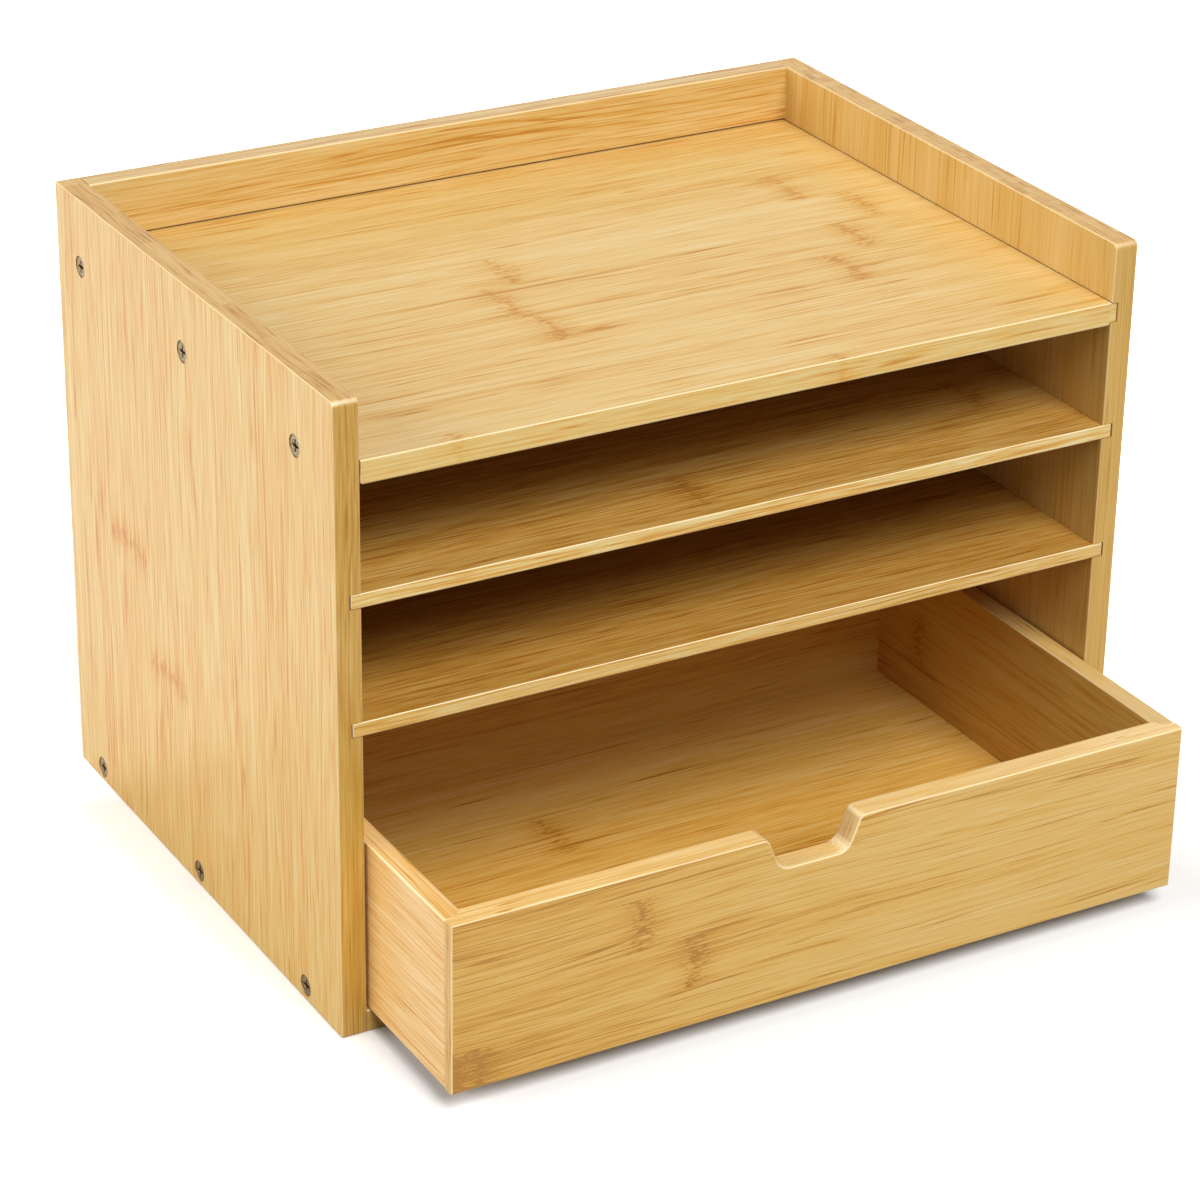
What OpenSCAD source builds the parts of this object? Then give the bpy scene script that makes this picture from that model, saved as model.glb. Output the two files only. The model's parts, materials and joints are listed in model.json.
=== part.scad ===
// Desktop envelope and paper sorter in solid bamboo: an open tray on top, two thin
// shelves housed in the side panels and one drawer that slides on the bottom panel.
// Millimetres. X runs left to right, the front faces -Y, Z is up, and the origin is
// the centre of the carcass underside. The drawer is drawn partly pulled out.

/* [Carcass] */
// Overall width over both side panels
body_w = 330; // [290:1:400]
// Depth of the side panels, front to rear
body_d = 240; // [218:1:300]
// Height of the side panels
body_h = 248; // [236:1:320]
// Thickness of the side panels
side_t = 10; // [8:0.5:14]
// Thickness of the top panel
top_t = 9; // [8:0.5:14]
// Thickness of the bottom panel
bottom_t = 9; // [8:0.5:14]
// How far the side panels rise above the top panel
tray_h = 23; // [16:0.5:40]
// Radius of the side panels' upper front corner
corner_r = 2.5; // [0.5:0.5:6]
// How far the tongues on the top panel's ends are let into the side panels
top_housing = 2.5; // [1:0.5:4]
// Radius under the top panel's ends, which is also where their tongues start
top_end_r = 1; // [0.5:0.25:2]
// How far the tongues lie below the top panel's upper face
top_end_drop = 0.5; // [0.25:0.25:1.5]
// Distance from the front edge to the left tongue, which is stopped out of sight
left_end_stop = 8; // [4:1:20]
// Distance from the front edge to the right tongue, which shows in its open groove
right_end_stop = 0.5; // [0.2:0.1:2]
// Shadow gap between the top panel and each side panel
top_side_gap = 0.3; // [0.2:0.1:0.6]

/* [Shelves] */
// Thickness of the two shelves
shelf_t = 5.5; // [4:0.5:8]
// Clear height between the upper shelf and the top panel
upper_gap = 40.5; // [25:0.5:50]
// Clear height between the two shelves
middle_gap = 44; // [25:0.5:50]
// Depth of the shelf grooves in the side panels
shelf_groove = 4.5; // [2:0.5:6]
// Gap between a shelf's end and the bottom of its groove
shelf_end_gap = 0.5; // [0.2:0.1:1]

/* [Back] */
// Thickness of the back panel
back_t = 4; // [3:0.5:6]
// Distance from the rear edges to the back panel
back_inset = 3; // [2:0.5:8]
// Depth of the groove that holds the back panel on all four sides
back_groove = 3; // [2:0.5:5]
// Thickness of the rear rail
rail_t = 10; // [8:0.5:14]
// Shadow gap between the rear rail and the top panel
rail_gap = 0.5; // [0.2:0.1:0.9]
// Diameter of the dowels at the ends of the rear rail
dowel_d = 5; // [4:0.5:6]
// Depth of a dowel in the side panel
dowel_in_side = 6; // [4:0.5:7]
// Depth of a dowel in the rear rail
dowel_in_rail = 12; // [8:1:20]

/* [Screws] */
// Diameter of the countersunk heads
head_d = 8; // [7:0.1:9]
// Height of the straight rim of a head
head_rim = 0.4; // [0.2:0.1:0.8]
// Depth of the conical part of a head
head_cone = 2.4; // [1.8:0.1:3]
// Length of each slot of the cross recess
slot_l = 4.6; // [3.6:0.1:5.6]
// Width of each slot of the cross recess
slot_w = 1; // [0.8:0.1:1.4]
// Depth of the cross recess
slot_d = 1.5; // [0.8:0.1:2]
// How far a head lies below the panel's face
head_sink = 0.3; // [0.1:0.1:0.8]
// Diameter of the shank
shank_d = 3.5; // [3:0.1:4]
// Length of a screw with its head
screw_l = 30; // [24:1:40]
// Distance from the front edge to the front screws
screw_front = 30; // [15:1:60]
// Distance from the rear edge to the rear screws
screw_rear = 22; // [15:1:60]
// Distance of the bottom screws below the bottom panel's upper face
bottom_screw_drop = 3; // [2.5:0.25:3.5]

/* [Drawer] */
// Length of the drawer, front to rear
drawer_l = 200; // [150:1:208]
// Height of the drawer
drawer_h = 68; // [45:1:95]
// How far the drawer is drawn out in this pose
drawer_out = 64; // [0:1:150]
// Gap between the drawer and each side panel
drawer_gap = 1; // [0.5:0.1:2]
// Running gap under the drawer
drawer_lift = 0.3; // [0.2:0.1:0.6]
// Thickness of the drawer front
front_t = 10; // [8:0.5:14]
// Thickness of the front's lip over the ends of the drawer sides
front_lip = 5; // [3:0.5:6]
// Thickness of the drawer sides
wall_t = 8; // [6:0.5:12]
// Thickness of the drawer back
drawer_back_t = 8; // [6:0.5:12]
// Depth of the rebate that takes the drawer back
back_rebate = 4; // [2:0.5:5]
// Thickness of the drawer bottom
floor_t = 3; // [3:0.5:5]
// Height of the drawer bottom above the drawer's lower edge
floor_up = 4; // [3:0.5:8]
// Depth of the grooves that hold the drawer bottom
floor_groove = 3; // [2:0.5:4]
// Width and height of a stop block behind the drawer
stop_w = 15; // [10:1:25]
// Distance of each stop block from the nearer side panel
stop_inset = 37.5; // [5:0.5:100]
// Gap between the closed drawer and the stop blocks
stop_gap = 0.3; // [0.2:0.1:1]

/* [Finger notch] */
// Width of the notch's level floor
notch_floor = 20; // [12:1:40]
// Depth of the notch
notch_d = 13.5; // [8:0.5:20]
// Slope of the notch's flanks, in degrees
notch_slope = 68; // [50:1:80]
// Radius at the foot of a flank
notch_foot_r = 6; // [3:0.5:7]
// Radius at the shoulder of a flank
notch_top_r = 3; // [1:0.5:4]
// Offset of the notch from the middle of the front
notch_x = -8; // [-40:1:40]

/* [Hidden] */
$fn = 48;

// Left and right, as the sign of X
LEFT = -1;
RIGHT = 1;
// Clearance of a housed end or a panel edge in its groove
fit = 0.1;
// Radial clearance of a screw or dowel in its hole
pin_fit = 0.05;
// Free depth past the end of a screw or dowel
end_gap = 0.5;
// Free depth past the end of a tongue
tongue_room = 0.3;
// Gap around a screw's head in its countersink
head_room = 0.25;
// Overshoot of a cut beyond the face that it opens
cut = 1;
// Straight steps in each rounded corner of a board and in each bend of the notch
corner_steps = 8;
notch_steps = 10;

// Places of the carcass
half_w = body_w / 2;
inner_x = half_w - side_t;
front_y = -body_d / 2;
rear_y = body_d / 2;
top_z = body_h - tray_h;
top_under = top_z - top_t;
back_rear = rear_y - back_inset;
back_front = back_rear - back_t;
upper_z = top_under - upper_gap - shelf_t;
lower_z = upper_z - middle_gap - shelf_t;
shoulder_x = inner_x - top_side_gap;
tongue_low = top_under + top_end_r;
tongue_high = top_z - top_end_drop;
rail_bottom = top_z + rail_gap;

// Places of the screws and dowels
head_x = half_w - head_sink;
cone_x = head_x - head_rim;
screw_ys = [
    front_y + screw_front,
    (front_y + screw_front + rear_y - screw_rear) / 2,
    rear_y - screw_rear
];
top_screw_z = (tongue_low + tongue_high) / 2;
bottom_screw_z = bottom_t - bottom_screw_drop;
rail_mid_z = (rail_bottom + body_h) / 2;
dowel_spread = (body_h - rail_bottom) / 4;
dowel_zs = [rail_mid_z - dowel_spread, rail_mid_z + dowel_spread];
dowel_y = rear_y - rail_t / 2;

// Places of the drawer
drawer_w = 2 * (inner_x - drawer_gap);
drawer_x = drawer_w / 2;
wall_x = drawer_x - wall_t;
drawer_y = front_y - drawer_out;
drawer_z = bottom_t + drawer_lift;
floor_z = drawer_z + floor_up;
stop_front = front_y + drawer_l + stop_gap;
stop_x = inner_x - stop_inset - stop_w;

bamboo_side = "#d8b06a";
bamboo_panel = "#e0bb77";
bamboo_shelf = "#cfa45c";
bamboo_drawer = "#e3c080";
bamboo_inner = "#c2924a";
screw_metal = "#7d6642";

// A box between two values on each axis
module block(x, y, z) {
    translate([x[0], y[0], z[0]])
        cube([x[1] - x[0], y[1] - y[0], z[1] - z[0]]);
}

// A piece at the left or at the right, as drawn at the right
module on_side(side) {
    if (side == RIGHT) children();
    else mirror([1, 0, 0]) children();
}

// A level cylinder along X, from x0 to x1
module rod(r, x0, x1, y, z) {
    translate([x0, y, z])
        rotate([0, 90, 0])
            cylinder(r = r, h = x1 - x0);
}

// ---- fasteners, drawn at the right: the head faces +X ----

// A countersunk screw with a cross recess
module screw(y, z) {
    difference() {
        union() {
            rod(head_d / 2, cone_x, head_x, y, z);
            translate([cone_x, y, z])
                rotate([0, -90, 0])
                    cylinder(r1 = head_d / 2, r2 = shank_d / 2, h = head_cone);
            rod(shank_d / 2, head_x - screw_l, cone_x - head_cone, y, z);
        }
        for (turn = [0, 90])
            translate([head_x, y, z])
                rotate([turn, 0, 0])
                    cube([2 * slot_d, slot_l, slot_w], center = true);
    }
}

// The stepped hole that a screw needs through the side panel and into a panel's end
module screw_hole(y, z) {
    mouth_r = head_d / 2 + head_room;
    bore_r = shank_d / 2 + pin_fit;
    rod(mouth_r, cone_x, half_w + cut, y, z);
    translate([cone_x, y, z])
        rotate([0, -90, 0])
            cylinder(r1 = mouth_r, r2 = bore_r, h = head_cone + head_room);
    rod(bore_r, head_x - screw_l - end_gap, head_x, y, z);
}

module screw_row(z) {
    for (y = screw_ys) screw(y, z);
}

module screw_holes(z) {
    for (y = screw_ys) screw_hole(y, z);
}

// The two dowels at one end of the rear rail
module rail_dowels() {
    for (z = dowel_zs)
        rod(dowel_d / 2, inner_x - dowel_in_rail, inner_x + dowel_in_side, dowel_y, z);
}

module dowel_holes() {
    for (z = dowel_zs)
        rod(
            dowel_d / 2 + pin_fit,
            inner_x - dowel_in_rail - end_gap,
            inner_x + dowel_in_side + end_gap,
            dowel_y, z
        );
}

// ---- carcass ----

// Side profile in Y and Z: square but for the eased upper front corner
module side_outline() {
    arc = [
        for (i = [0:corner_steps])
            let (a = 90 * i / corner_steps)
            [front_y + corner_r * (1 - sin(a)), body_h - corner_r * (1 - cos(a))]
    ];
    polygon(concat([[front_y, 0], [rear_y, 0], [rear_y, body_h]], arc));
}

module shelf_grooves() {
    for (z = [upper_z, lower_z])
        block(
            [inner_x - cut, inner_x + shelf_groove],
            [front_y - cut, back_front],
            [z - fit, z + shelf_t + fit]
        );
}

// The back panel's grooves in the sides, the top and the bottom
module back_slot() {
    reach = inner_x + back_groove;
    block(
        [-reach, reach],
        [back_front - fit, back_rear + fit],
        [bottom_t - back_groove, top_under + back_groove]
    );
}

// A side panel whose groove for the top panel's tongue starts at a given Y
module side_panel(groove_y) {
    difference() {
        translate([inner_x, 0, 0])
            rotate([90, 0, 90])
                linear_extrude(side_t) side_outline();
        shelf_grooves();
        back_slot();
        block(
            [inner_x - cut, inner_x + top_housing + tongue_room],
            [groove_y, rear_y + cut],
            [tongue_low - fit, tongue_high + fit]
        );
        screw_holes(top_screw_z);
        screw_holes(bottom_screw_z);
        dowel_holes();
    }
}

module left_side_panel() {
    color(bamboo_side) on_side(LEFT) side_panel(front_y + left_end_stop - fit);
}

module right_side_panel() {
    color(bamboo_side) on_side(RIGHT) side_panel(front_y - cut);
}

// Section of the top panel in X and Z: rounded under each end, with a tongue above
module top_outline() {
    tip = inner_x + top_housing;
    arc = [
        for (i = [0:corner_steps])
            let (a = 90 * i / corner_steps)
            [shoulder_x - top_end_r * (1 - sin(a)), top_under + top_end_r * (1 - cos(a))]
    ];
    tongue = [
        [tip, tongue_low],
        [tip, tongue_high],
        [shoulder_x, tongue_high],
        [shoulder_x, top_z]
    ];
    right = concat(arc, tongue);
    left = [for (i = [len(right) - 1:-1:0]) [-right[i][0], right[i][1]]];
    polygon(concat(right, left));
}

// What is cut off the front of a tongue at the right
module tongue_stop(stop) {
    block(
        [shoulder_x, half_w],
        [front_y - cut, front_y + stop],
        [top_under - cut, top_z + cut]
    );
}

module top_panel() {
    color(bamboo_panel)
        difference() {
            translate([0, rear_y, 0])
                rotate([90, 0, 0])
                    linear_extrude(body_d) top_outline();
            on_side(LEFT) tongue_stop(left_end_stop);
            on_side(RIGHT) tongue_stop(right_end_stop);
            back_slot();
            for (side = [LEFT, RIGHT]) on_side(side) screw_holes(top_screw_z);
        }
}

module bottom_panel() {
    color(bamboo_panel)
        difference() {
            block([-inner_x, inner_x], [front_y, rear_y], [0, bottom_t]);
            back_slot();
            for (side = [LEFT, RIGHT]) on_side(side) screw_holes(bottom_screw_z);
        }
}

module shelf(z) {
    end_x = inner_x + shelf_groove - shelf_end_gap;
    block([-end_x, end_x], [front_y, back_front - fit], [z, z + shelf_t]);
}

module upper_shelf() {
    color(bamboo_shelf) shelf(upper_z);
}

module lower_shelf() {
    color(bamboo_shelf) shelf(lower_z);
}

module back_panel() {
    end_x = inner_x + back_groove - end_gap;
    color(bamboo_inner)
        block(
            [-end_x, end_x],
            [back_front, back_rear],
            [bottom_t - back_groove, top_under + back_groove - end_gap]
        );
}

module rear_rail() {
    color(bamboo_side)
        difference() {
            block([-inner_x, inner_x], [rear_y - rail_t, rear_y], [rail_bottom, body_h]);
            for (side = [LEFT, RIGHT]) on_side(side) dowel_holes();
        }
}

module left_rail_dowels() {
    color(bamboo_inner) on_side(LEFT) rail_dowels();
}

module right_rail_dowels() {
    color(bamboo_inner) on_side(RIGHT) rail_dowels();
}

module left_top_screws() {
    color(screw_metal) on_side(LEFT) screw_row(top_screw_z);
}

module left_bottom_screws() {
    color(screw_metal) on_side(LEFT) screw_row(bottom_screw_z);
}

module right_top_screws() {
    color(screw_metal) on_side(RIGHT) screw_row(top_screw_z);
}

module right_bottom_screws() {
    color(screw_metal) on_side(RIGHT) screw_row(bottom_screw_z);
}

// A block on the bottom panel that stops the drawer flush with the side panels
module drawer_stop() {
    block(
        [stop_x, stop_x + stop_w],
        [stop_front, back_front],
        [bottom_t, bottom_t + stop_w]
    );
}

module left_drawer_stop() {
    color(bamboo_inner) on_side(LEFT) drawer_stop();
}

module right_drawer_stop() {
    color(bamboo_inner) on_side(RIGHT) drawer_stop();
}

// ---- drawer, drawn with its front face at Y = 0 and then moved out ----

module drawer_place() {
    translate([0, drawer_y, drawer_z]) children();
}

// The joint between the front and a side at the right, from the inside corner to the
// outer face: a short diagonal and then the lip's shoulder
joint_line = [
    [wall_x, front_t],
    [wall_x + wall_t / 2, front_lip],
    [drawer_x, front_lip]
];

// The drawer bottom and the room that its grooves leave it
module floor_space(slack) {
    reach_x = wall_x + floor_groove - end_gap + slack;
    front_end = front_t - floor_groove + end_gap - slack;
    rear_end = drawer_l - drawer_back_t + floor_groove - end_gap + slack;
    block(
        [-reach_x, reach_x],
        [front_end, rear_end],
        [floor_up - min(slack, fit), floor_up + floor_t + min(slack, fit)]
    );
}

// Section of the finger notch, open upwards, with its mouth at Z = 0
module notch_outline() {
    turn = 1 - cos(notch_slope);
    flank = (notch_d - (notch_foot_r + notch_top_r) * turn) / sin(notch_slope);
    foot_x = notch_floor / 2;
    foot = [
        for (i = [0:notch_steps])
            let (a = notch_slope * i / notch_steps)
            [foot_x + notch_foot_r * sin(a), notch_foot_r * (1 - cos(a)) - notch_d]
    ];
    mouth_x = foot_x + (notch_foot_r + notch_top_r) * sin(notch_slope)
        + flank * cos(notch_slope);
    shoulder = [
        for (i = [notch_steps:-1:0])
            let (a = notch_slope * i / notch_steps)
            [mouth_x - notch_top_r * sin(a), -notch_top_r * (1 - cos(a))]
    ];
    right = concat(foot, shoulder, [[mouth_x, cut]]);
    left = [for (i = [len(right) - 1:-1:0]) [-right[i][0], right[i][1]]];
    polygon(concat(right, left));
}

module drawer_front() {
    right = [
        [drawer_x, 0],
        joint_line[2],
        joint_line[1],
        joint_line[0]
    ];
    left = [for (i = [len(right) - 1:-1:0]) [-right[i][0], right[i][1]]];
    color(bamboo_drawer)
        drawer_place()
            difference() {
                linear_extrude(drawer_h) polygon(concat(right, left));
                floor_space(end_gap);
                translate([notch_x, front_t + cut, drawer_h])
                    rotate([90, 0, 0])
                        linear_extrude(front_t + 2 * cut) notch_outline();
            }
}

module drawer_side() {
    drawer_place()
        difference() {
            linear_extrude(drawer_h)
                polygon(concat(joint_line, [[drawer_x, drawer_l], [wall_x, drawer_l]]));
            block(
                [wall_x - cut, wall_x + back_rebate],
                [drawer_l - drawer_back_t, drawer_l + cut],
                [-cut, drawer_h + cut]
            );
            floor_space(end_gap);
        }
}

module drawer_left_side() {
    color(bamboo_drawer) on_side(LEFT) drawer_side();
}

module drawer_right_side() {
    color(bamboo_drawer) on_side(RIGHT) drawer_side();
}

module drawer_back() {
    end_x = wall_x + back_rebate;
    color(bamboo_drawer)
        drawer_place()
            difference() {
                block([-end_x, end_x], [drawer_l - drawer_back_t, drawer_l], [0, drawer_h]);
                floor_space(end_gap);
            }
}

module drawer_bottom() {
    color(bamboo_inner) drawer_place() floor_space(0);
}

left_side_panel();
right_side_panel();
top_panel();
bottom_panel();
upper_shelf();
lower_shelf();
back_panel();
rear_rail();
left_rail_dowels();
right_rail_dowels();
left_top_screws();
left_bottom_screws();
right_top_screws();
right_bottom_screws();
left_drawer_stop();
right_drawer_stop();
drawer_front();
drawer_left_side();
drawer_right_side();
drawer_back();
drawer_bottom();
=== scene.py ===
import json
import math

import bmesh
import bpy
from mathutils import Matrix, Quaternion, Vector


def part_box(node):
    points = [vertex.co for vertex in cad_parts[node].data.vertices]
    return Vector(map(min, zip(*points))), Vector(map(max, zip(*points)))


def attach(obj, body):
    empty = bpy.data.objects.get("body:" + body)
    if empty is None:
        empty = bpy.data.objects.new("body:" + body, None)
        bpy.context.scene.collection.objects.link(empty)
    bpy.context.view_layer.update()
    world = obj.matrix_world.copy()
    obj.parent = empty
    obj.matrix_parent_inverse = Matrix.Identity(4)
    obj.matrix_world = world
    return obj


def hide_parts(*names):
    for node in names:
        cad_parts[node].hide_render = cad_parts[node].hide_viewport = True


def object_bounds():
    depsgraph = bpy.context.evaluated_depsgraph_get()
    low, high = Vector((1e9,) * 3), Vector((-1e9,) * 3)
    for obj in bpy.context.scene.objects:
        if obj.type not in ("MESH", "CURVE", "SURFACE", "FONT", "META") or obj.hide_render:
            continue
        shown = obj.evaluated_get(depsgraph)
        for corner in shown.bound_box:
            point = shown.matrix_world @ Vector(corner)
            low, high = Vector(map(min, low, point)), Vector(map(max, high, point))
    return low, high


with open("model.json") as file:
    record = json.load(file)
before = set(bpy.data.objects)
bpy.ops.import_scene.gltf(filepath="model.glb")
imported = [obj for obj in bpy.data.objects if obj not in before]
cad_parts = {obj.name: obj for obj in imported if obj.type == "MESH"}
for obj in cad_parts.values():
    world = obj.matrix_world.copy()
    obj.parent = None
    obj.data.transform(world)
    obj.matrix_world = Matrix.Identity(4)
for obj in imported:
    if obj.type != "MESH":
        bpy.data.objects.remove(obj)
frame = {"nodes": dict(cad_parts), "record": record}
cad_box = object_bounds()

MM = 0.001
X, Y, Z = 0, 1, 2


# ---- small helpers ----

def linear(hex_colour):
    """An sRGB value such as "#e9c282" as linear red, green and blue with an alpha of 1."""
    channels = [int(hex_colour[i:i + 2], 16) / 255 for i in (1, 3, 5)]
    return [c / 12.92 if c <= 0.04045 else ((c + 0.055) / 1.055) ** 2.4 for c in channels] + [1.0]


def add(tree, kind, inputs=None, out=0, **settings):
    """Adds one shader node with its settings and returns one of its outputs.
    inputs gives a value or another node's output for each named or numbered socket. A MapRange
    takes its value at 0, the range that it comes from at 1 and 2, and the one that it goes to at 3
    and 4, which is 0 to 1 where none is given. A Mix takes its factor at 0 and two numbers at 2
    and 3, or two colours at 6 and 7."""
    node = tree.nodes.new("ShaderNode" + kind)
    for key, value in settings.items():
        setattr(node, key, value)
    for key, value in (inputs or {}).items():
        if isinstance(value, bpy.types.NodeSocket):
            tree.links.new(value, node.inputs[key])
        else:
            node.inputs[key].default_value = value
    return node.outputs[out] if len(node.outputs) else node


def new_material(name):
    """An empty node material and its tree."""
    material = bpy.data.materials.new(name)
    material.use_nodes = True
    material.node_tree.nodes.clear()
    return material, material.node_tree


def set_stops(ramp_output, places, colours):
    """Gives a colour ramp a hex colour at each place."""
    ramp = ramp_output.node.color_ramp
    while len(ramp.elements) < len(places):
        ramp.elements.new(0.5)
    for element, place, colour in zip(ramp.elements, places, colours):
        element.position = place
        element.color = linear(colour)


# ---- pressed bamboo ----
# Splits of the stalk are planed square, glued side by side in plies and pressed into boards. To the
# eye that gives long straight fibres, strips of slightly different tone with a fine glue line
# between them, and here and there a knuckle: a row of short brown dashes across one strip, where
# the stalk had its joint. A clear satin lacquer lies over it.

FIBRE_MM = 0.75                # width of a fibre bundle, drawn twice as coarse as the real one to show
STREAK_MM = 2.4                # width of the streaks that the bundles form
FIGURE_MM = 9.0                # width of the soft figure within a strip
STRIP_SHIFT_MM = 300.0         # how far two strips' grains may lie apart, so that none look alike
WANDER_MM = (5.0, 3.0)         # how far the fibres bend, across the board and through it
WANDER_LENGTH_MM = 120         # length over which they bend to one side and back
WANDER_WIDTH_MM = 30           # width of board over which they bend alike
VEIN_MM = 2.4                  # spacing of the amber veins, the stalk's sap vessels cut lengthways
VEIN_CUT = (0.045, 0.01)       # how far the noise lies from its middle where one starts and is full
VEIN_STRENGTH = (0.25, 1.2)    # of the faintest and of the strongest
GLUE_LINE_MM = 0.3             # drawn wider than the real 0.1 mm, so that it shows
KNUCKLE_MM = 6.5               # half the length of a knuckle along the grain
KNUCKLE_BOW_MM = 9.0           # it bows along the grain by a quarter of this at its strip's sides
STAIN_MM = 16                  # half the length of the darker stain around it
DASH_MM = (3.2, 0.85)          # length and width of its dashes
DASH_CUT = (0.38, 0.56)        # level of the noise at which a dash starts and is full
DASH_FADE = 0.26               # how far that noise has sunk at the knuckle's ends
END_FLECK_MM = (4, 22, 0.8)    # size of the flecks in end grain: into it, across and through
FLECK_CUT = (0.54, 0.7)        # level of the noise at which a fleck starts and is full
FADE_MM = (-160.0, 60.0)       # where a board's painted shade at its low end, for light that falls off there, is darkest and gone again
FAR_MM = 1000.0                # longer than any board
FACE_SHADE, END_SHADE = 0.58, 0.56    # of faces and of ends, before the patterns are added
FACING = 0.7                   # how squarely a face looks along an axis to count as an edge or end
FLAT, EASED = 0.98, 0.82       # how squarely an eased edge looks where its painted highlight starts and is full

# The layers of the grain: length along it, width across it and how ragged they are
GRAIN_LAYERS = (("fibre", 30, FIBRE_MM, 2.0),
                ("vein", 150, VEIN_MM, 0.0),
                ("streak", 110, STREAK_MM, 1.0),
                ("figure", 220, FIGURE_MM, 0.0))

# Shades of a board's fibres, from the darkest streak to the palest, and where they lie on its ramp
SHADE_STOPS = (0.1, 0.3, 0.5, 0.7, 0.9)
PALE = ("#c58a30", "#d6a248", "#ddb869", "#e1c37e", "#e5d094")
BLOND = ("#c2780a", "#cd8f22", "#d2a547", "#d6b15d", "#dabd73")
GOLD = ("#b47f30", "#c49541", "#cea659", "#d4b06c", "#d8ba7e")
HONEY = ("#b97e2c", "#cb9b48", "#d4af68", "#d8b878", "#dcc18c")
AMBER = ("#a66f25", "#c38f3b", "#cfa352", "#d4ae66", "#d7b97b")
OLIVE = ("#ab7b2a", "#bd9138", "#c89d49", "#cda656", "#d2ad66")
TAWNY = ("#a0701c", "#b3842a", "#c09139", "#c89d49", "#cfa75c")
STRAW = ("#ac7728", "#c9963d", "#d7ab56", "#dbb569", "#ddc080")
WARM = ("#cb8926", "#dea349", "#e8ba72", "#edc382", "#f0cf95")
# The next two are darkened as painted shade, for shelf tops that lie deep in the compartments
PAINTED_SHADE_CARAMEL = ("#986520", "#b07c2f", "#bf9142", "#c59b52", "#caa865")
PAINTED_SHADE_RUSSET = ("#925d1a", "#a97226", "#b78536", "#bd8f43", "#c29b53")
GINGER = ("#b27926", "#d09639", "#dcab50", "#e0b562", "#e3bf78")
# Darkened as painted shade, for the drawer's shaded inner walls
PAINTED_SHADE_CIDER = ("#a3691e", "#bf882f", "#cb9b43", "#d0a655", "#d4b168")
CREAM = ("#cf9a4a", "#e2b566", "#ecc987", "#f0d198", "#f2d8a6")
TOASTED = ("#9c6c2f", "#b98a46", "#c69e5f", "#cdac73", "#d2b785")
BROWNED = ("#9e6c2c", "#b58341", "#c49a52", "#cda765", "#d4b47b")
EDGE_HIGHLIGHT = "#fbebc4"    # tone of the painted highlight on an eased edge, where it catches the light


def sap_veins(tree, noise, streaks, chance):
    """Thin lines where the noise crosses its middle, stronger in some streaks and strips."""
    veins = add(tree, "Math", {0: noise, 1: 0.5}, operation="SUBTRACT")
    veins = add(tree, "Math", {0: veins}, operation="ABSOLUTE")
    veins = add(tree, "MapRange", {0: veins, 1: VEIN_CUT[0], 2: VEIN_CUT[1]})
    for varied, low, high in ((streaks, 0.4, 0.62), (chance, -0.6, 1.0)):
        strength = add(tree, "MapRange", {0: varied, 1: low, 2: high, 3: VEIN_STRENGTH[0],
                                           4: VEIN_STRENGTH[1]})
        veins = add(tree, "Math", {0: veins, 1: strength}, operation="MULTIPLY")
    return veins


def glue_lines(tree, cells, size_mm):
    """How near a point lies to the glue line beside its strip or ply, and how far it lies from the
    middle of that strip or ply, as a share of its width. Cells is its place, counted in them."""
    share = add(tree, "Math", {0: cells}, operation="FRACT")
    from_middle = add(tree, "Math", {0: share, 1: 0.5}, operation="SUBTRACT")
    from_middle = add(tree, "Math", {0: from_middle}, operation="ABSOLUTE")
    near = add(tree, "MapRange", {0: from_middle, 1: 0.5 - GLUE_LINE_MM / size_mm, 2: 0.5},
               interpolation_type="SMOOTHSTEP")
    return near, from_middle


def knuckle_marks(tree, knuckles, strip, from_middle, along, wander):
    """The stain and the dashes of the nearest knuckle in a point's own strip."""
    bow = add(tree, "Math", {0: from_middle, 1: from_middle}, operation="MULTIPLY")
    along = add(tree, "Math", {0: bow, 1: KNUCKLE_BOW_MM, 2: along}, operation="MULTIPLY_ADD")
    nearest = FAR_MM
    for number, along_mm in knuckles:
        gap = add(tree, "Math", {0: along, 1: float(along_mm)}, operation="SUBTRACT")
        gap = add(tree, "Math", {0: gap}, operation="ABSOLUTE")
        elsewhere = add(tree, "Math", {0: strip, 1: float(number), 2: 0.1}, operation="COMPARE")
        elsewhere = add(tree, "Math", {0: elsewhere, 1: -FAR_MM, 2: FAR_MM}, operation="MULTIPLY_ADD")
        gap = add(tree, "Math", {0: gap, 1: elsewhere}, operation="ADD")
        nearest = add(tree, "Math", {0: gap, 1: nearest}, operation="MINIMUM")
    stain = add(tree, "MapRange", {0: nearest, 1: float(STAIN_MM), 2: 0.0},
                interpolation_type="SMOOTHERSTEP")
    dash_scale = (1 / DASH_MM[0], 1 / DASH_MM[1], 1 / DASH_MM[1])
    dash_place = add(tree, "VectorMath", {0: wander, 1: dash_scale}, operation="MULTIPLY")
    dashes = add(tree, "TexNoise", {"Vector": dash_place, "Scale": 1.0, "Detail": 1.0})
    dashes = add(tree, "Math", {0: nearest, 1: -DASH_FADE / KNUCKLE_MM, 2: dashes},
                 operation="MULTIPLY_ADD")
    dashes = add(tree, "MapRange", {0: dashes, 1: DASH_CUT[0], 2: DASH_CUT[1]})
    return stain, dashes


def weighed(tree, shade, round_middle, plain):
    """A shade with patterns added to it, each with its own weight. Those of the first list vary
    round 0.5, and those of the second start at 0."""
    for value, weight in round_middle:
        centred = add(tree, "Math", {0: value, 1: 0.5}, operation="SUBTRACT")
        shade = add(tree, "Math", {0: centred, 1: weight, 2: shade}, operation="MULTIPLY_ADD")
    for value, weight in plain:
        shade = add(tree, "Math", {0: value, 1: weight, 2: shade}, operation="MULTIPLY_ADD")
    return shade


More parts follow.
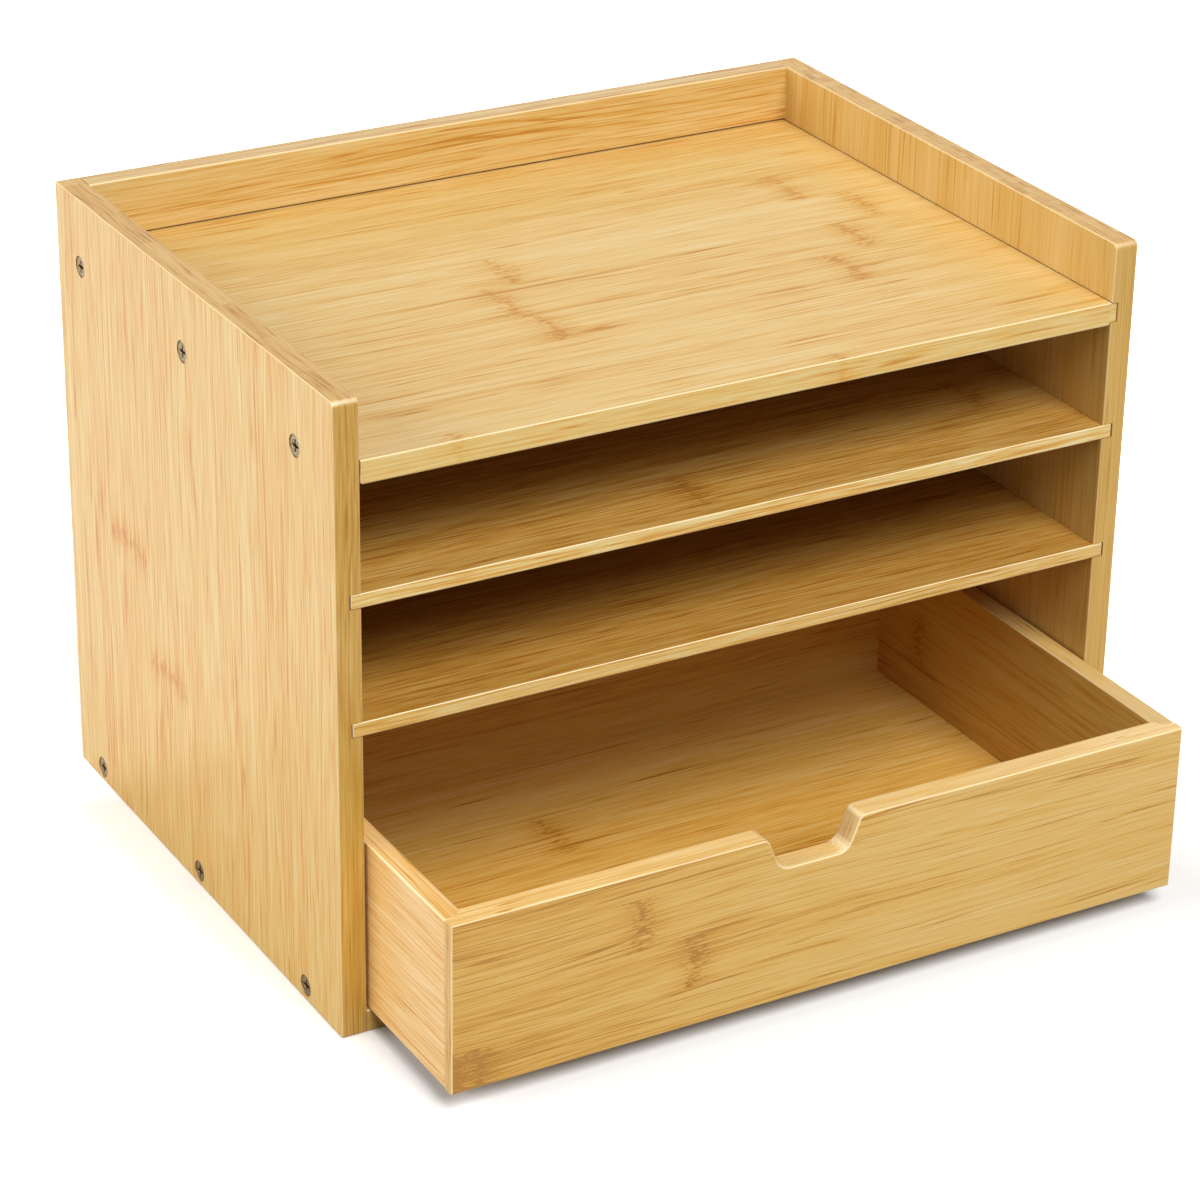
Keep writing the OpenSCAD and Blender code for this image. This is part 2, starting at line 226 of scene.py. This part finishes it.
def end_grain(tree, wander, tone, ply_glue, strip_glue):
    """The shade of end grain: streaks of cut fibres, longer across the board than through it."""
    end_scale = tuple(1 / size_mm for size_mm in END_FLECK_MM)
    end_place = add(tree, "VectorMath", {0: wander, 1: end_scale}, operation="MULTIPLY")
    cut_fibres = add(tree, "TexNoise", {"Vector": end_place, "Scale": 1.0, "Detail": 2.0})
    flecks = add(tree, "MapRange", {0: cut_fibres, 1: FLECK_CUT[0], 2: FLECK_CUT[1]})
    return weighed(tree, END_SHADE, [(cut_fibres, -0.6), (tone, 0.25)],
                   [(flecks, -0.34), (ply_glue, -0.1), (strip_glue, -0.2)])


def pressed_bamboo(name, grain, across, seed, strip_lines, ply_lines, face=HONEY, edge=OLIVE,
                   end=BROWNED, contrast=1.15, painted_shade_low=0.0, edge_highlight=0.5, knuckles=()):
    """Lacquered pressed bamboo with its grain along one axis and its strips side by side along
    another. The glue lines between strips and those between plies are given by their spacing and
    the place of one, in mm. A knuckle is given as the number of its strip and its place along the
    grain in mm. The board may be darker towards the low end of its grain, a painted shade for light
    that falls off there. Its eased edges are paled by a painted highlight of a given strength."""
    strip_mm, strip_line_mm = strip_lines
    ply_mm, ply_line_mm = ply_lines
    material, tree = new_material(name)
    through = ({X, Y, Z} - {grain, across}).pop()
    place = add(tree, "TexCoord", out="Object")
    in_mm = add(tree, "VectorMath", {0: place, 1: (1 / MM,) * 3}, operation="MULTIPLY")
    axes = add(tree, "SeparateXYZ", {0: in_mm}).node.outputs

    # Which strip and ply a point lies in, and a tone for each
    strips = add(tree, "Math", {0: axes[across], 1: float(strip_line_mm)}, operation="SUBTRACT")
    strips = add(tree, "Math", {0: strips, 1: float(strip_mm)}, operation="DIVIDE")
    strip = add(tree, "Math", {0: strips}, operation="FLOOR")
    plies = add(tree, "Math", {0: axes[through], 1: float(ply_line_mm)}, operation="SUBTRACT")
    plies = add(tree, "Math", {0: plies, 1: float(ply_mm)}, operation="DIVIDE")
    ply = add(tree, "Math", {0: plies}, operation="FLOOR")
    key = add(tree, "CombineXYZ", {0: strip, 1: ply, 2: float(seed)})
    tone = add(tree, "TexWhiteNoise", {"Vector": key}, noise_dimensions="3D")
    chance = tone.node.outputs["Color"]
    chance_of = add(tree, "SeparateXYZ", {0: chance}).node.outputs

    # Fibres that wander a little and differ from strip to strip
    board = add(tree, "CombineXYZ", {0: axes[grain], 1: axes[across], 2: axes[through]})
    bends = (1 / WANDER_LENGTH_MM, 1 / WANDER_WIDTH_MM, 1 / WANDER_WIDTH_MM)
    slow = add(tree, "VectorMath", {0: board, 1: bends}, operation="MULTIPLY")
    wander = add(tree, "TexNoise", {"Vector": slow, "Scale": 1.0, "Detail": 0.0}, out="Color")
    wander = add(tree, "VectorMath", {0: wander, 1: (0.0, *WANDER_MM), 2: board}, operation="MULTIPLY_ADD")
    strands = add(tree, "VectorMath", {0: chance, 1: (STRIP_SHIFT_MM,) * 3, 2: wander},
                  operation="MULTIPLY_ADD")
    layers = {}
    for layer, length_mm, width_mm, detail in GRAIN_LAYERS:
        scale = (1 / length_mm, 1 / width_mm, 1 / width_mm)
        at = add(tree, "VectorMath", {0: strands, 1: scale}, operation="MULTIPLY")
        layers[layer] = add(tree, "TexNoise", {"Vector": at, "Scale": 1.0, "Detail": detail,
                                               "Roughness": 0.6})

    veins = sap_veins(tree, layers["vein"], layers["streak"], chance_of[1])
    ply_glue, _ = glue_lines(tree, plies, ply_mm)
    strip_glue, from_middle = glue_lines(tree, strips, strip_mm)
    stain, dashes = knuckle_marks(tree, knuckles, strip, from_middle, axes[grain], wander)

    # One shade from all of it, in which 0.5 is the board's plain colour
    shade = weighed(tree, FACE_SHADE,
                    [(tone, 0.13), (layers["figure"], 0.3), (layers["streak"], 0.3),
                     (layers["fibre"], contrast)],
                    [(veins, -0.38), (strip_glue, -0.16), (stain, -0.13), (dashes, -0.3)])
    # Painted shade: darker towards the low end of the grain, for light that falls off there
    painted_shade = add(tree, "MapRange", {0: axes[grain], 1: FADE_MM[0], 2: FADE_MM[1], 3: -painted_shade_low,
                                   4: 0.0})
    shade = add(tree, "Math", {0: shade, 1: painted_shade}, operation="ADD")
    edge_shade = weighed(tree, shade, [], [(ply_glue, -0.14), (stain, 0.07), (dashes, 0.16)])
    end_shade = end_grain(tree, wander, tone, ply_glue, strip_glue)

    # Faces, long edges and ends each take their own colours, and eased edges are paler with a painted
    # highlight
    normal = add(tree, "TexCoord", out="Normal")
    turned = add(tree, "VectorMath", {0: normal}, operation="ABSOLUTE")
    turned = add(tree, "SeparateXYZ", {0: turned}).node.outputs
    colour = add(tree, "ValToRGB", {0: shade})
    set_stops(colour, SHADE_STOPS, face)
    for axis, value, colours in ((across, edge_shade, edge), (grain, end_shade, end)):
        other = add(tree, "ValToRGB", {0: value})
        set_stops(other, SHADE_STOPS, colours)
        towards = add(tree, "Math", {0: turned[axis], 1: FACING}, operation="GREATER_THAN")
        colour = add(tree, "Mix", {0: towards, 6: colour, 7: other}, out=2, data_type="RGBA")
    # Painted highlight: the rounded faces of an eased edge are paled as if catching the light
    flattest = add(tree, "Math", {0: turned[X], 1: turned[Y]}, operation="MAXIMUM")
    flattest = add(tree, "Math", {0: flattest, 1: turned[Z]}, operation="MAXIMUM")
    painted_highlight = add(tree, "MapRange", {0: flattest, 1: FLAT, 2: EASED, 3: 0.0, 4: edge_highlight})
    colour = add(tree, "Mix", {0: painted_highlight, 6: colour, 7: linear(EDGE_HIGHLIGHT)}, out=2, data_type="RGBA")

    # Lacquer over a fine relief, a little glossier on pale fibres than on dark ones
    bump = add(tree, "Bump", {"Height": layers["fibre"], "Strength": 0.3, "Distance": 0.08 * MM})
    gloss = add(tree, "MapRange", {0: shade, 1: 0.2, 2: 0.8, 3: 0.5, 4: 0.38})
    surface = add(tree, "BsdfPrincipled", {"Base Color": colour, "Roughness": gloss, "Normal": bump,
                                           "IOR": 1.5, "Coat Weight": 0.1, "Coat Roughness": 0.3})
    add(tree, "OutputMaterial", {"Surface": surface})
    return material


SPOT_MM = 0.9         # size of the plating's rubbed spots
SPECK_MM = 0.25       # size of the fine specks that roughen it


def antique_bronze():
    """Steel screws with an antique bronze plating: a dark brown metal with small paler spots, where
    the plating is rubbed thin."""
    material, tree = new_material("antique_bronze_plating")
    place = add(tree, "TexCoord", out="Object")
    in_mm = add(tree, "VectorMath", {0: place, 1: (1 / MM,) * 3}, operation="MULTIPLY")
    mottle = add(tree, "TexNoise", {"Vector": in_mm, "Scale": 1 / SPOT_MM, "Detail": 3.0})
    specks = add(tree, "TexNoise", {"Vector": in_mm, "Scale": 1 / SPECK_MM, "Detail": 2.0})
    colour = add(tree, "ValToRGB", {0: mottle})
    set_stops(colour, (0.3, 0.5, 0.68), ("#453620", "#6b5637", "#97825c"))
    gloss = add(tree, "MapRange", {0: specks, 1: 0.3, 2: 0.7, 3: 0.3, 4: 0.48})
    bump = add(tree, "Bump", {"Height": specks, "Strength": 0.25, "Distance": 0.02 * MM})
    surface = add(tree, "BsdfPrincipled", {"Base Color": colour, "Metallic": 1.0, "Roughness": gloss,
                                           "Normal": bump})
    add(tree, "OutputMaterial", {"Surface": surface})
    return material


# ---- pieces with eased edges ----

EASE_MM = 0.8         # how wide an edge is eased where a piece doesn't say
CORNER_MM = 3.0       # more than the reach of the rounded corners
NOTCH_MM = 20         # more than the depth of the drawer front's notch
EXACT = 0.01 * MM     # a corner that is nearer than this to a box's side lies on it
WELD = 0.001 * MM     # corners nearer to each other than this are one
IN_PLANE = math.radians(0.5)           # faces that turn less than this are one
SHARP = math.radians(30)               # edges that turn more than this may be eased
SMOOTH = math.cos(math.radians(35))    # faces that turn less than this run into each other
BROAD_MM2 = 4.0       # least area of a face that keeps its own plain shade, in square mm
SQUARE = 0.9999       # how squarely such a face looks along an axis

inner_x = -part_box("left_side_panel")[1].x    # half the clear width between the side panels


def on_outline(ends, low, high):
    """True for an edge along two sides of a box, and for the curves round its corners."""
    gaps = [max(min(end[k] - low[k], high[k] - end[k]) for end in ends) for k in (X, Y, Z)]
    exact = sum(gap < EXACT for gap in gaps)
    return exact >= 2 or exact == 1 and all(gap < CORNER_MM * MM for gap in gaps)


def between_sides(ends, low, high):
    """True for an edge round the front face of a board between the side panels, or a long one of
    its rear face, but for the upright ones, which meet those panels, and those of its tongues."""
    length = abs(ends[0].x - ends[1].x)
    in_front = length > EXACT and all(end.y - low.y < EXACT for end in ends)
    at_rear = length > CORNER_MM * MM and all(high.y - end.y < EXACT for end in ends)
    return (in_front or at_rear) and all(abs(end.x) < inner_x + EXACT for end in ends)


def on_front_board(ends, low, high):
    """True for an edge of the drawer front's outer face or of its top, notch and all."""
    outer = all(end.y - low.y < EXACT for end in ends)
    inner = all(high.y - end.y < EXACT and end.z > high.z - NOTCH_MM * MM for end in ends)
    return outer or inner


def on_head(ends, low, high):
    """True for an edge of a screw head's outer face: its rim and the mouth of its recess."""
    face = max(low.x, high.x, key=abs)
    return all(abs(end.x - face) < EXACT for end in ends)


def is_broad(face):
    """True for a flat face square to the frame, unlike the narrow ones of a curve."""
    return max(abs(part) for part in face.normal) > SQUARE and face.area > BROAD_MM2 * MM ** 2


def shade_evenly(data):
    """Keeps each broad flat face evenly shaded right up to its edges. The faces of an eased edge
    or a round corner run smoothly into it and into each other."""
    faces_at = [[] for _ in data.vertices]
    for face in data.polygons:
        face.use_smooth = True
        for corner in face.vertices:
            faces_at[corner].append(face)
    normals = []
    for face in data.polygons:
        for corner in face.vertices:
            near = [other for other in faces_at[corner] if other.normal.dot(face.normal) > SMOOTH]
            broad = [other for other in near if is_broad(other)]
            if is_broad(face) or not near:
                normals.append(face.normal.copy())
            elif broad:
                normals.append(max(broad, key=lambda other: other.area).normal.copy())
            else:
                normals.append(sum((other.normal for other in near), Vector()).normalized())
    data.normals_split_custom_set(normals)


def eased(node, material, ease_mm=EASE_MM, wanted=on_outline):
    """A board or screw as packed, with the wanted edges eased. The others stay crisp."""
    low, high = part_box(node)
    mesh = bmesh.new()
    mesh.from_mesh(frame["nodes"][node].data)
    bmesh.ops.remove_doubles(mesh, verts=mesh.verts, dist=WELD)
    bmesh.ops.dissolve_limit(mesh, angle_limit=IN_PLANE, verts=mesh.verts, edges=mesh.edges)
    chosen = [edge for edge in mesh.edges if edge.calc_face_angle(0.0) > SHARP
              and wanted([vert.co for vert in edge.verts], low, high)]
    bmesh.ops.bevel(mesh, geom=chosen, offset=ease_mm * MM, offset_type="OFFSET", segments=3,
                    profile=0.5, affect="EDGES", clamp_overlap=False)
    bmesh.ops.recalc_face_normals(mesh, faces=mesh.faces)
    data = bpy.data.meshes.new(node + "_eased")
    mesh.to_mesh(data)
    mesh.free()
    shade_evenly(data)
    piece = bpy.data.objects.new(node + "_eased", data)
    bpy.context.scene.collection.objects.link(piece)
    data.materials.append(material)
    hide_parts(node)
    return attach(piece, body_of[node])


body_of = {node: body for body, nodes in frame["record"]["behaviour"]["bodies"].items()
           for node in nodes}

# Places and widths below are in mm, in the part's frame
left_bamboo = pressed_bamboo(
    "pressed_bamboo_left_side", grain=Z, across=Y, seed=3, strip_lines=(34, 10),
    ply_lines=(3.4, -158.3), face=BLOND, edge=TAWNY, contrast=1.5, knuckles=[(1, 122), (0, 80)])
right_bamboo = pressed_bamboo(
    "pressed_bamboo_right_side", grain=Z, across=Y, seed=8, strip_lines=(5.6, 2),
    ply_lines=(3.4, 158.3), face=GOLD, contrast=0.6, edge_highlight=0.3)
top_bamboo = pressed_bamboo(
    "pressed_bamboo_top", grain=X, across=Y, seed=5, strip_lines=(28, -2), ply_lines=(4.7, 220.5),
    edge=PALE, edge_highlight=0.85,
    knuckles=[(-1, -44), (-2, -40), (-2, 88), (0, 130), (-1, 109), (1, 112), (0, -30),
              (-5, -116), (-5, 38)])
bottom_bamboo = pressed_bamboo(
    "pressed_bamboo_bottom", grain=X, across=Y, seed=11, strip_lines=(28, 4), ply_lines=(4.7, 4.5),
    face=AMBER, knuckles=[(-2, 60), (1, -80)])
# The shelves' faces take palettes darkened as painted shade for the compartments they lie in
upper_bamboo = pressed_bamboo(
    "pressed_bamboo_upper_shelf", grain=X, across=Y, seed=14, strip_lines=(27, -112),
    ply_lines=(2.9, 172.75), face=PAINTED_SHADE_CARAMEL, edge=PALE, contrast=2.3, edge_highlight=0.85,
    knuckles=[(0, -12), (1, 127)])
lower_bamboo = pressed_bamboo(
    "pressed_bamboo_lower_shelf", grain=X, across=Y, seed=21, strip_lines=(27, -118),
    ply_lines=(2.9, 123.25), face=PAINTED_SHADE_RUSSET, edge=STRAW, contrast=2.3, edge_highlight=0.85)
rail_bamboo = pressed_bamboo(
    "pressed_bamboo_rail", grain=X, across=Z, seed=2, strip_lines=(30, 222), ply_lines=(3.4, 113.3),
    face=HONEY, edge=TOASTED, contrast=1.4)
# The drawer front's darker left end is painted shade, for light that falls off there
front_bamboo = pressed_bamboo(
    "pressed_bamboo_drawer_front", grain=X, across=Z, seed=6, strip_lines=(20.8, 4.9),
    ply_lines=(3.4, -177.3), face=STRAW, edge=CREAM, end=AMBER, contrast=0.95, painted_shade_low=0.22,
    knuckles=[(2, -78), (1, -56), (0, -152), (0, -143)])
left_wall_bamboo = pressed_bamboo(
    "pressed_bamboo_drawer_left", grain=Y, across=Z, seed=17, strip_lines=(24, 9),
    ply_lines=(2.8, -151.4), face=WARM, edge=WARM, contrast=1.6)
# The drawer's right and rear walls take a palette darkened as painted shade
right_wall_bamboo = pressed_bamboo(
    "pressed_bamboo_drawer_right", grain=Y, across=Z, seed=19, strip_lines=(24, 9),
    ply_lines=(2.8, 148.6), face=PAINTED_SHADE_CIDER, edge=HONEY, knuckles=[(1, -20)])
rear_wall_bamboo = pressed_bamboo(
    "pressed_bamboo_drawer_back", grain=X, across=Z, seed=23, strip_lines=(24, 9),
    ply_lines=(2.8, 10.6), face=PAINTED_SHADE_CIDER, edge=HONEY)
thin_bamboo = pressed_bamboo(
    "pressed_bamboo_thin_board", grain=X, across=Y, seed=29, strip_lines=(30, -66),
    ply_lines=(1.6, 14.8), face=GINGER, contrast=1.4, knuckles=[(0, -40)])
back_bamboo = pressed_bamboo(
    "pressed_bamboo_back_board", grain=X, across=Z, seed=31, strip_lines=(30, 6),
    ply_lines=(2.1, 115), face=AMBER, knuckles=[(1, -90), (3, 60), (6, -20)])
bronze = antique_bronze()

eased("left_side_panel", left_bamboo, ease_mm=0.6)
eased("right_side_panel", right_bamboo)
eased("top_panel", top_bamboo, ease_mm=0.6, wanted=between_sides)
eased("bottom_panel", bottom_bamboo, wanted=between_sides)
eased("upper_shelf", upper_bamboo, ease_mm=0.5)
eased("lower_shelf", lower_bamboo, ease_mm=0.5)
eased("rear_rail", rail_bamboo, wanted=between_sides)
eased("drawer_front", front_bamboo, wanted=on_front_board)
eased("drawer_left_side", left_wall_bamboo)
eased("drawer_right_side", right_wall_bamboo)
eased("drawer_back", rear_wall_bamboo)
for side in ("left", "right"):
    eased(side + "_drawer_stop", thin_bamboo)
    for level in ("top", "bottom"):
        eased(f"{side}_{level}_screws", bronze, ease_mm=0.15, wanted=on_head)

for node, material in (("back_panel", back_bamboo), ("drawer_bottom", thin_bamboo),
                       ("left_rail_dowels", rail_bamboo), ("right_rail_dowels", rail_bamboo)):
    frame["nodes"][node].data.materials.clear()
    frame["nodes"][node].data.materials.append(material)


# ---- studio ----

PAPER = 0.3           # tone of the paper for the light that it throws back on the part
PAPER_NEAR = 0.97     # tone in which it is seen close to the part, where the shadow lies
PAPER_FAR = 1.5       # tone in which it is seen away from the part, burnt out
PAPER_BEHIND = 2.0    # tone in which it is seen behind the part, burnt out too
NEAR_MM, AWAY_MM = 10, 90    # PAPER_NEAR ends at the first distance, PAPER_FAR starts at the second
BEHIND_MM = 40        # PAPER_BEHIND is reached over this last stretch before the part's rear
PAPER_TOOTH = 900.0   # grains of the paper per metre
FLOOR_HALF = 8.0      # half the floor's side, in metres


def seen_directly(tree):
    """1 for camera, glossy and transmitted rays, which see the background, and 0 for the others,
    which only carry its light."""
    rays = add(tree, "LightPath").node.outputs
    direct = add(tree, "Math", {0: rays["Is Camera Ray"], 1: rays["Is Glossy Ray"]}, operation="MAXIMUM")
    return add(tree, "Math", {0: direct, 1: rays["Is Transmission Ray"]}, operation="MAXIMUM")


def white_floor():
    """A sheet of white paper. It is overexposed, as in a studio, and more so behind the part and
    away from it, so that it burns out to white but for the shadow close by; the light that it
    throws back is plain."""
    material, tree = new_material("white_paper")
    place = add(tree, "TexCoord", out="Object")
    tooth = add(tree, "TexNoise", {"Vector": place, "Scale": PAPER_TOOTH, "Detail": 2.0})
    bump = add(tree, "Bump", {"Height": tooth, "Strength": 0.05, "Distance": 0.05 * MM})
    low, high = cad_box
    from_middle = add(tree, "VectorMath", {0: place, 1: (low + high) / 2}, operation="SUBTRACT")
    from_middle = add(tree, "VectorMath", {0: from_middle}, operation="ABSOLUTE")
    beside = add(tree, "VectorMath", {0: from_middle, 1: (high - low) / 2}, operation="SUBTRACT")
    beside = add(tree, "VectorMath", {0: beside, 1: (0.0, 0.0, 0.0)}, operation="MAXIMUM")
    flat = add(tree, "VectorMath", {0: beside, 1: (1.0, 1.0, 0.0)}, operation="MULTIPLY")
    away = add(tree, "VectorMath", {0: flat}, out="Value", operation="LENGTH")
    burnt = add(tree, "MapRange", {0: away, 1: NEAR_MM * MM, 2: AWAY_MM * MM, 3: PAPER_NEAR,
                                   4: PAPER_FAR})
    to_rear = add(tree, "SeparateXYZ", {0: place}, out=1)
    behind = add(tree, "MapRange", {0: to_rear, 1: high.y - BEHIND_MM * MM, 2: high.y, 3: PAPER_NEAR,
                                    4: PAPER_BEHIND})
    burnt = add(tree, "Math", {0: burnt, 1: behind}, operation="MAXIMUM")
    seen = add(tree, "Mix", {0: seen_directly(tree), 2: PAPER, 3: burnt})
    colour = add(tree, "CombineColor", {0: seen, 1: seen, 2: seen})
    paper = add(tree, "BsdfDiffuse", {"Color": colour, "Normal": bump})
    add(tree, "OutputMaterial", {"Surface": paper})
    data = bpy.data.meshes.new("studio_floor")
    corners = [(-FLOOR_HALF, -FLOOR_HALF, 0), (FLOOR_HALF, -FLOOR_HALF, 0),
               (FLOOR_HALF, FLOOR_HALF, 0), (-FLOOR_HALF, FLOOR_HALF, 0)]
    data.from_pydata(corners, [], [(0, 1, 2, 3)])
    data.materials.append(material)
    floor = bpy.data.objects.new("studio_floor", data)
    floor.location.z = cad_box[0].z - 0.05 * MM
    bpy.context.scene.collection.objects.link(floor)


def white_world(level):
    """An even sky at a level for the light, seen as white."""
    world = bpy.data.worlds.new("studio_sky")
    bpy.context.scene.world = world
    world.use_nodes = True
    tree = world.node_tree
    tree.nodes.clear()
    strength = add(tree, "Mix", {0: seen_directly(tree), 2: level, 3: 1.0})
    sky = add(tree, "Background", {"Color": (1.0, 1.0, 1.0, 1.0), "Strength": strength})
    add(tree, "OutputWorld", {"Surface": sky})


def wide_sun(name, towards, strength, width):
    """A very wide sun, like a large softbox far away, given by the direction that it stands in and
    the width in degrees that it fills."""
    lamp = bpy.data.lights.new(name, "SUN")
    lamp.energy = strength
    lamp.angle = math.radians(width)
    holder = bpy.data.objects.new(name, lamp)
    holder.rotation_mode = "QUATERNION"
    holder.rotation_quaternion = Vector(towards).to_track_quat("Z", "Y")
    bpy.context.scene.collection.objects.link(holder)


def photo_camera():
    """The camera where the photograph was taken from."""
    azimuth, elevation, roll = math.radians(-29.8), math.radians(26.1), math.radians(0.94)
    aim = Vector((-0.0012, -0.0149, 0.0925))
    distance = 1.5235
    back = Vector((math.sin(azimuth) * math.cos(elevation),
                   -math.cos(azimuth) * math.cos(elevation), math.sin(elevation)))
    lens = bpy.data.cameras.new("camera")
    lens.sensor_width = 36.0
    lens.lens = 117.8
    lens.clip_start, lens.clip_end = 0.05, 50.0
    camera = bpy.data.objects.new("camera", lens)
    camera.location = aim + distance * back
    camera.rotation_mode = "QUATERNION"
    camera.rotation_quaternion = back.to_track_quat("Z", "Y") @ Quaternion((0, 0, 1), roll)
    bpy.context.scene.collection.objects.link(camera)
    bpy.context.scene.camera = camera


white_floor()
white_world(level=0.18)
wide_sun("left_softbox", towards=(-0.92, 0.28, 0.28), strength=2.36, width=55)
wide_sun("front_softbox", towards=(-0.03, -0.63, 0.77), strength=3.15, width=34)
photo_camera()
bpy.context.scene.view_settings.view_transform = "Standard"
